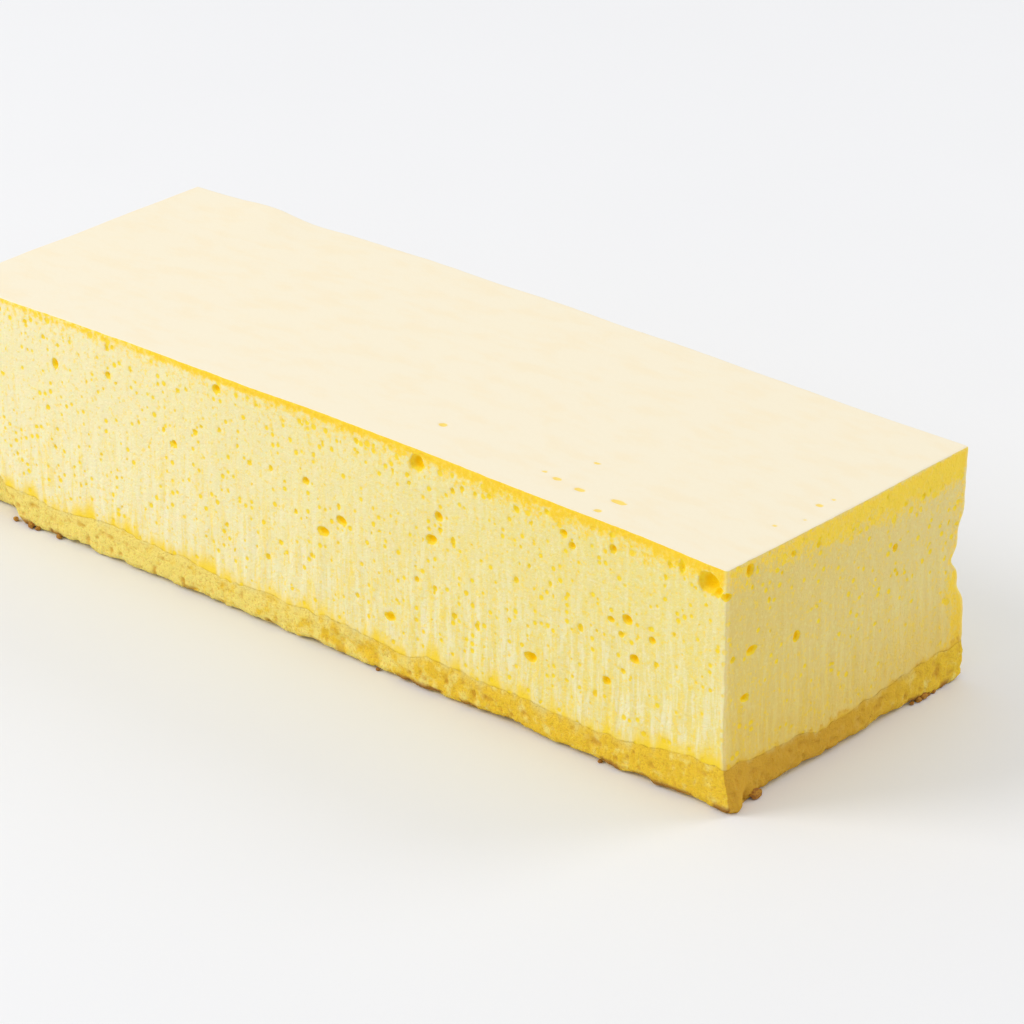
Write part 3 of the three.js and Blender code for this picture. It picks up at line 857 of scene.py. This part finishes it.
class Nodes:
    """A material's nodes, added and joined one by one. Scales of patterns are for millimetres."""

    def __init__(self, name):
        self.material = bpy.data.materials.new(name)
        self.material.use_nodes = True
        self.tree = self.material.node_tree
        self.shader = self.tree.nodes["Principled BSDF"]

    def add(self, kind, **settings):
        """Adds a node of one kind with its settings."""
        node = self.tree.nodes.new(kind)
        for key, value in settings.items():
            setattr(node, key, value)
        return node

    def put(self, socket, value):
        """Joins an output to a socket, or sets the socket's own value."""
        if isinstance(value, bpy.types.NodeSocket):
            self.tree.links.new(value, socket)
        elif hasattr(socket.default_value, "__len__") and len(value) < len(socket.default_value):
            socket.default_value = (*value, 1.0)
        else:
            socket.default_value = value

    def millimetres(self, scale=(1, 1, 1)):
        """Object coordinates in millimetres, stretched by a scale."""
        where = self.add("ShaderNodeTexCoord")
        mapping = self.add("ShaderNodeMapping", vector_type="POINT")
        mapping.inputs["Scale"].default_value = [part / MM for part in scale]
        self.put(mapping.inputs["Vector"], where.outputs["Object"])
        return mapping.outputs["Vector"]

    def along_and_across(self, place):
        """How far along and across the bar a place is."""
        split = self.add("ShaderNodeSeparateXYZ")
        self.put(split.inputs["Vector"], place)
        return split.outputs["X"], split.outputs["Y"]

    def noise(self, vector, per_mm, detail=2.0, roughness=0.5):
        """A cloudy pattern from about 0.3 to 0.7."""
        node = self.add("ShaderNodeTexNoise")
        self.put(node.inputs["Vector"], vector)
        node.inputs["Scale"].default_value = per_mm
        node.inputs["Detail"].default_value = detail
        node.inputs["Roughness"].default_value = roughness
        return node.outputs["Fac"]

    def cells(self, vector, per_mm):
        """The distance to the nearest cell's middle, and that cell's own colour."""
        node = self.add("ShaderNodeTexVoronoi")
        self.put(node.inputs["Vector"], vector)
        node.inputs["Scale"].default_value = per_mm
        return node.outputs["Distance"], node.outputs["Color"]

    def value(self, name):
        """A number that the mesh keeps for every point."""
        return self.add("ShaderNodeAttribute", attribute_name=name).outputs["Fac"]

    def band(self, value, low, high, start=0.0, end=1.0):
        """Goes smoothly from start at low to end at high."""
        node = self.add("ShaderNodeMapRange", interpolation_type="SMOOTHSTEP")
        for key, number in (
            ("From Min", low), ("From Max", high), ("To Min", start), ("To Max", end)
        ):
            node.inputs[key].default_value = number
        self.put(node.inputs["Value"], value)
        return node.outputs["Result"]

    def sum(self, operation, a, b):
        """Reckons with two numbers."""
        node = self.add("ShaderNodeMath", operation=operation)
        self.put(node.inputs[0], a)
        self.put(node.inputs[1], b)
        return node.outputs["Value"]

    def times(self, a, b):
        """One number times another."""
        return self.sum("MULTIPLY", a, b)

    def blend(self, part, a, b):
        """Goes from colour a to colour b."""
        node = self.add("ShaderNodeMix", data_type="RGBA")
        self.put(node.inputs["Factor"], part)
        self.put(node.inputs[COLOUR_A], a)
        self.put(node.inputs[COLOUR_B], b)
        return node.outputs[MIXED_COLOUR]

    def bump(self, height, distance, strength):
        """Fine relief of so many metres."""
        node = self.add("ShaderNodeBump")
        node.inputs["Strength"].default_value = strength
        node.inputs["Distance"].default_value = distance
        self.put(node.inputs["Height"], height)
        return node.outputs["Normal"]

    def finish(self, colour, pattern, rough, normal, soft, depth, specular):
        """Joins up the shader: rough after a pattern, with some soft light from inside."""
        inputs = self.shader.inputs
        self.put(inputs["Base Color"], colour)
        self.put(inputs["Roughness"], self.band(pattern, 0.3, 0.7, *rough))
        self.put(inputs["Normal"], normal)
        self.put(inputs["Subsurface Weight"], soft)
        inputs["Subsurface Radius"].default_value = LIGHT_REACH
        inputs["Subsurface Scale"].default_value = depth
        inputs["Specular IOR Level"].default_value = specular
        return self.material


def pores(nodes, vector, per_mm, widest, more):
    """Fine round pores, some cells empty: 1 inside a pore and 0 between; more widens them."""
    distance, colour = nodes.cells(vector, per_mm)
    draw = nodes.add("ShaderNodeSeparateColor")
    nodes.put(draw.inputs["Color"], colour)
    size = nodes.band(draw.outputs["Red"], 0.35, 1.0, 0.0, widest)
    size = nodes.sum("ADD", size, more)
    inside = nodes.sum("SUBTRACT", size, distance)
    return nodes.band(inside, -0.08, 0.16)


def seam_flecks(nodes, place, ends, smear):
    """Brownish flecks where the two layers meet on the short faces."""
    grain = nodes.noise(place, 0.8, 2.0, 0.6)
    border = nodes.times(nodes.band(smear, 0.3, 0.6), nodes.band(smear, 1.0, 0.7))
    flecks = nodes.times(nodes.band(grain, 0.52, 0.64, 0.0, 0.7), border)
    return nodes.times(flecks, ends)


def cut_material(scene):
    """Aerated cheese where the knife went: pores, drags, yellow skin above, sponge dragged in."""
    finish, crumb = scene.cheese_finish, scene.sponge_finish
    nodes = Nodes("aerated_cut")
    place = nodes.millimetres()
    along, across = nodes.along_and_across(place)
    ends = nodes.value("ends")
    # Painted light: the cut faces grow lighter towards the left end.
    painted_light_leftwards = nodes.band(along, ALONG_REACH, -ALONG_REACH)
    colour = nodes.blend(painted_light_leftwards, finish.cut, finish.cut_painted_light)
    # Painted shade on the short faces, lighter towards their far side.
    painted_light_farther = nodes.band(across, -ACROSS_REACH, ACROSS_REACH, 0.0, 0.25)
    colour = nodes.blend(ends, colour, nodes.blend(painted_light_farther, finish.cut_end_painted_shade, finish.cut_painted_light))
    drags = nodes.noise(nodes.millimetres(DRAGGED_LONG), 0.9, 3.0, 0.65)
    drag = nodes.value("drag")
    pale = nodes.times(nodes.band(drags, 0.47, 0.66, 0.0, 0.75), drag)
    deep = nodes.times(nodes.band(drags, 0.50, 0.34, 0.0, 0.4), drag)
    paler = nodes.blend(ends, finish.pale, finish.cut)
    colour = nodes.blend(pale, colour, paler)
    colour = nodes.blend(deep, colour, finish.pore)
    skin = nodes.value("skin")
    near_rim = nodes.band(skin, 0.1, 0.5, 0.0, 0.14)
    speck = pores(nodes, place, per_mm=0.70, widest=0.41, more=near_rim)
    grain = nodes.noise(place, 1.9, 2.0, 0.6)
    mottle = nodes.noise(place, 1.1, 3.0, 0.6)
    colour = nodes.blend(nodes.band(mottle, 0.46, 0.32, 0.0, 0.4), colour, paler)
    faint = nodes.band(mottle, 0.53, 0.70, 0.0, 0.55)
    specked = nodes.sum("MAXIMUM", nodes.times(speck, 0.95), faint)
    colour = nodes.blend(specked, colour, finish.pore)
    dotted = nodes.sum("ADD", skin, nodes.band(mottle, 0.35, 0.65, -0.2, 0.2))
    dotted = nodes.times(nodes.band(dotted, 0.12, 0.88), nodes.band(skin, 0.0, 0.1))
    colour = nodes.blend(dotted, colour, finish.skin)
    rim_line = nodes.sum("ADD", skin, nodes.band(mottle, 0.38, 0.62, -0.2, 0.2))
    not_ends = nodes.sum("SUBTRACT", 1.0, ends)
    rim_line = nodes.times(nodes.band(rim_line, 0.5, 1.05), not_ends)
    colour = nodes.blend(rim_line, colour, finish.rim)
    smear = nodes.value("smear")
    dragged = nodes.blend(nodes.band(ends, 0.0, 1.0, 0.08, 0.65), finish.pore, crumb.deep)
    colour = nodes.blend(nodes.times(smear, 0.95), colour, dragged)
    colour = nodes.blend(seam_flecks(nodes, place, ends, smear), colour, crumb.deep)
    # Painted highlight along the upright edges.
    colour = nodes.blend(nodes.times(nodes.value("edge"), 0.4), colour, finish.pale)
    hole = nodes.value("hole")
    colour = nodes.blend(nodes.band(hole, 0.04, 0.28, 0.0, 0.95), colour, finish.pore)
    colour = nodes.blend(nodes.band(hole, 0.52, 0.9, 0.0, 0.97), colour, finish.hole)
    height = nodes.sum("SUBTRACT", grain, nodes.times(speck, 0.5))
    normal = nodes.bump(height, distance=0.25 * MM, strength=0.7)
    soft = nodes.times(nodes.value("soft"), 0.45)
    return nodes.finish(colour, grain, (0.55, 0.7), normal, soft, 1.2 * MM, specular=0.06)


def top_material(scene):
    """The smooth pale top, with faint mottling and a few pinholes."""
    finish = scene.cheese_finish
    nodes = Nodes("smooth_top")
    place = nodes.millimetres()
    mottle = nodes.noise(nodes.millimetres((0.5, 1.0, 1.0)), 0.22, 3.0, 0.6)
    colour = nodes.blend(nodes.band(mottle, 0.42, 0.70, 0.0, 0.7), finish.top, finish.blush)
    hole = nodes.band(nodes.value("hole"), 0.05, 0.45, 0.0, 0.8)
    colour = nodes.blend(hole, colour, finish.skin)
    normal = nodes.bump(nodes.noise(place, 1.1), distance=0.12 * MM, strength=0.35)
    return nodes.finish(colour, mottle, (0.45, 0.58), normal, 0.0, 1.5 * MM, specular=0.14)


def sponge_material(scene):
    """Open golden crumb, paler where cheese is dragged over it and browned underneath."""
    finish, cheese = scene.sponge_finish, scene.cheese_finish
    nodes = Nodes("golden_crumb")
    place = nodes.millimetres()
    cloud = nodes.noise(place, 0.45, 2.0)
    grain = nodes.noise(place, 2.1, 3.0, 0.65)
    along, across = nodes.along_and_across(place)
    ends, smear = nodes.value("ends"), nodes.value("smear")
    # Painted light: the crumb grows lighter towards the left end.
    painted_light_leftwards = nodes.band(along, 80.0, -ALONG_REACH, -0.12, 0.30)
    lightness = nodes.sum("ADD", cloud, painted_light_leftwards)
    colour = nodes.blend(nodes.band(lightness, 0.38, 0.66), finish.crumb, finish.light)
    # Painted shade on the short faces of the sponge, deepest at the near corner.
    deeper = nodes.band(across, -8.0, ACROSS_REACH, 0.9, 0.0)
    colour = nodes.blend(nodes.times(ends, deeper), colour, finish.deep)
    # Cheese dragged over the short faces takes the painted-shade colour.
    cheese_colour = nodes.blend(ends, cheese.cut, cheese.cut_end_painted_shade)
    colour = nodes.blend(smear, colour, cheese_colour)
    colour = nodes.blend(seam_flecks(nodes, place, ends, smear), colour, finish.deep)
    speck = nodes.band(grain, 0.48, 0.34, 0.0, 0.5)
    deep = nodes.sum("MAXIMUM", speck, nodes.times(nodes.value("hole"), 0.9))
    deep = nodes.times(deep, nodes.sum("SUBTRACT", 1.0, smear))
    colour = nodes.blend(deep, colour, finish.deep)
    colour = nodes.blend(nodes.times(nodes.value("crust"), 0.9), colour, finish.crust)
    normal = nodes.bump(grain, distance=0.6 * MM, strength=0.9)
    soft = nodes.times(nodes.value("soft"), 0.3)
    return nodes.finish(colour, grain, (0.75, 0.95), normal, soft, 1.0 * MM, specular=0.1)


def crust_material(scene):
    """Baked crumb, brown with golden specks."""
    finish = scene.sponge_finish
    nodes = Nodes("browned_crumb")
    grain = nodes.noise(nodes.millimetres(), 2.2, 3.0, 0.6)
    colour = nodes.blend(nodes.band(grain, 0.38, 0.66, 0.0, 0.55), finish.crust, finish.deep)
    normal = nodes.bump(grain, distance=0.4 * MM, strength=0.8)
    return nodes.finish(colour, grain, (0.7, 0.9), normal, 0.0, 1.0 * MM, specular=0.1)


def floor_material(scene):
    """A plain pale floor with a hardly seen clouding."""
    nodes = Nodes("pale_floor")
    grain = nodes.noise(nodes.millimetres(), 0.02, 1.0)
    deeper = [0.985 * part for part in scene.stage_settings.floor]
    colour = nodes.blend(grain, scene.stage_settings.floor, deeper)
    nodes.put(nodes.shader.inputs["Base Color"], colour)
    nodes.shader.inputs["Roughness"].default_value = 0.7
    nodes.shader.inputs["Specular IOR Level"].default_value = 0.1
    return nodes.material


# --- Stage ---


WINDOW_PLACE = (-0.75, -0.8, 0.8)
BACK_WINDOW_PLACE = (0.55, 0.95, 0.8)
WINDOW_SIZE = 0.7
WINDOW_COLOUR = (1.0, 0.99, 0.97)
SKY_COLOUR = (0.98, 0.99, 1.0, 1.0)
MIDDLE = Vector((0.0, 0.0, 0.02))  # of the bar, where the lights point
FLOOR_REACH = 2.5
SENSOR_WIDTH = 36.0
CLIP = (0.01, 20.0)


def look_along(direction):
    """The turn that points a lamp or a camera in a direction."""
    return direction.to_track_quat("-Z", "Y").to_euler()


def window_light(name, place, watts):
    """A soft round light that points at the bar."""
    light = bpy.data.lights.new(name, "AREA")
    light.shape = "DISK"
    light.size = WINDOW_SIZE
    light.energy = watts
    light.color = WINDOW_COLOUR
    lamp = bpy.data.objects.new(name, light)
    lamp.location = place
    lamp.rotation_euler = look_along(MIDDLE - Vector(place))
    bpy.context.scene.collection.objects.link(lamp)


def build_stage(scene):
    """A pale floor, an even sky, two window lights and the camera."""
    settings = scene.stage_settings
    bm = bmesh.new()
    bmesh.ops.create_grid(bm, x_segments=24, y_segments=24, size=FLOOR_REACH)
    floor = mesh_object(bm, "floor", [floor_material(scene)])
    world = bpy.data.worlds.new("even_sky")
    world.use_nodes = True
    background = world.node_tree.nodes["Background"]
    background.inputs["Color"].default_value = SKY_COLOUR
    background.inputs["Strength"].default_value = settings.sky
    scene.world = world
    window_light("window", WINDOW_PLACE, settings.window)
    window_light("back_window", BACK_WINDOW_PLACE, settings.back_window)
    lens = bpy.data.cameras.new("camera")
    lens.lens = settings.lens
    lens.sensor_width = SENSOR_WIDTH
    lens.clip_start, lens.clip_end = CLIP
    camera = bpy.data.objects.new("camera", lens)
    azimuth, elevation = settings.azimuth, settings.elevation
    back = Vector((
        math.sin(azimuth) * math.cos(elevation),
        -math.cos(azimuth) * math.cos(elevation),
        math.sin(elevation),
    ))
    camera.location = settings.place
    camera.rotation_euler = look_along(-back)
    scene.collection.objects.link(camera)
    scene.camera = camera
    scene.view_settings.view_transform = "Standard"
    return floor


# --- Operators and panel ---


def finished(piece):
    """An operator's answer once its piece is there; a piece without faces is an error."""
    if not piece.data.polygons:
        raise RuntimeError(piece.name + " has no faces")
    return {"FINISHED"}


class CAKE_OT_cheese(bpy.types.Operator):
    """Build the aerated cheese layer"""

    bl_idname = "cake.cheese"
    bl_label = "Cheese layer"

    def execute(self, context):
        return finished(build_cheese(context.scene))


class CAKE_OT_sponge(bpy.types.Operator):
    """Build the golden sponge layer"""

    bl_idname = "cake.sponge"
    bl_label = "Sponge layer"

    def execute(self, context):
        return finished(build_sponge(context.scene))


class CAKE_OT_crumbs(bpy.types.Operator):
    """Lay the browned crumbs along the sponge"""

    bl_idname = "cake.crumbs"
    bl_label = "Crumbs"

    def execute(self, context):
        return finished(build_crumbs(context.scene))


class CAKE_OT_stage(bpy.types.Operator):
    """Set the floor, the lights and the camera"""

    bl_idname = "cake.stage"
    bl_label = "Stage"

    def execute(self, context):
        return finished(build_stage(context.scene))


class CAKE_PT_panel(bpy.types.Panel):
    """Lists the pieces of the cake and their settings"""

    bl_idname = "CAKE_PT_panel"
    bl_label = "Cheesecake Bar"
    bl_space_type = "VIEW_3D"
    bl_region_type = "UI"
    bl_category = "Cake"

    def draw(self, context):
        for group, operator in PANEL_ROWS:
            column = self.layout.column()
            if group:
                settings = getattr(context.scene, group)
                for name in settings.__annotations__:
                    column.prop(settings, name)
            if operator:
                column.operator(operator)


GROUPS = {
    "bar_sizes": BarSizes,
    "air_holes": AirHoles,
    "cheese_finish": CheeseFinish,
    "sponge_finish": SpongeFinish,
    "stage_settings": StageSettings,
}
PANEL_ROWS = [
    ("bar_sizes", None),
    ("air_holes", None),
    ("cheese_finish", "cake.cheese"),
    ("sponge_finish", "cake.sponge"),
    (None, "cake.crumbs"),
    ("stage_settings", "cake.stage"),
]
OPERATORS = [CAKE_OT_cheese, CAKE_OT_sponge, CAKE_OT_crumbs, CAKE_OT_stage]
CLASSES = [*GROUPS.values(), *OPERATORS, CAKE_PT_panel]


def register():
    for cls in CLASSES:
        bpy.utils.register_class(cls)
    for name, group in GROUPS.items():
        setattr(bpy.types.Scene, name, bpy.props.PointerProperty(type=group))


def unregister():
    for name in GROUPS:
        delattr(bpy.types.Scene, name)
    for cls in reversed(CLASSES):
        bpy.utils.unregister_class(cls)


def main():
    register()
    bpy.ops.cake.stage()
    bpy.ops.cake.cheese()
    bpy.ops.cake.sponge()
    bpy.ops.cake.crumbs()


if __name__ == "__main__":
    main()
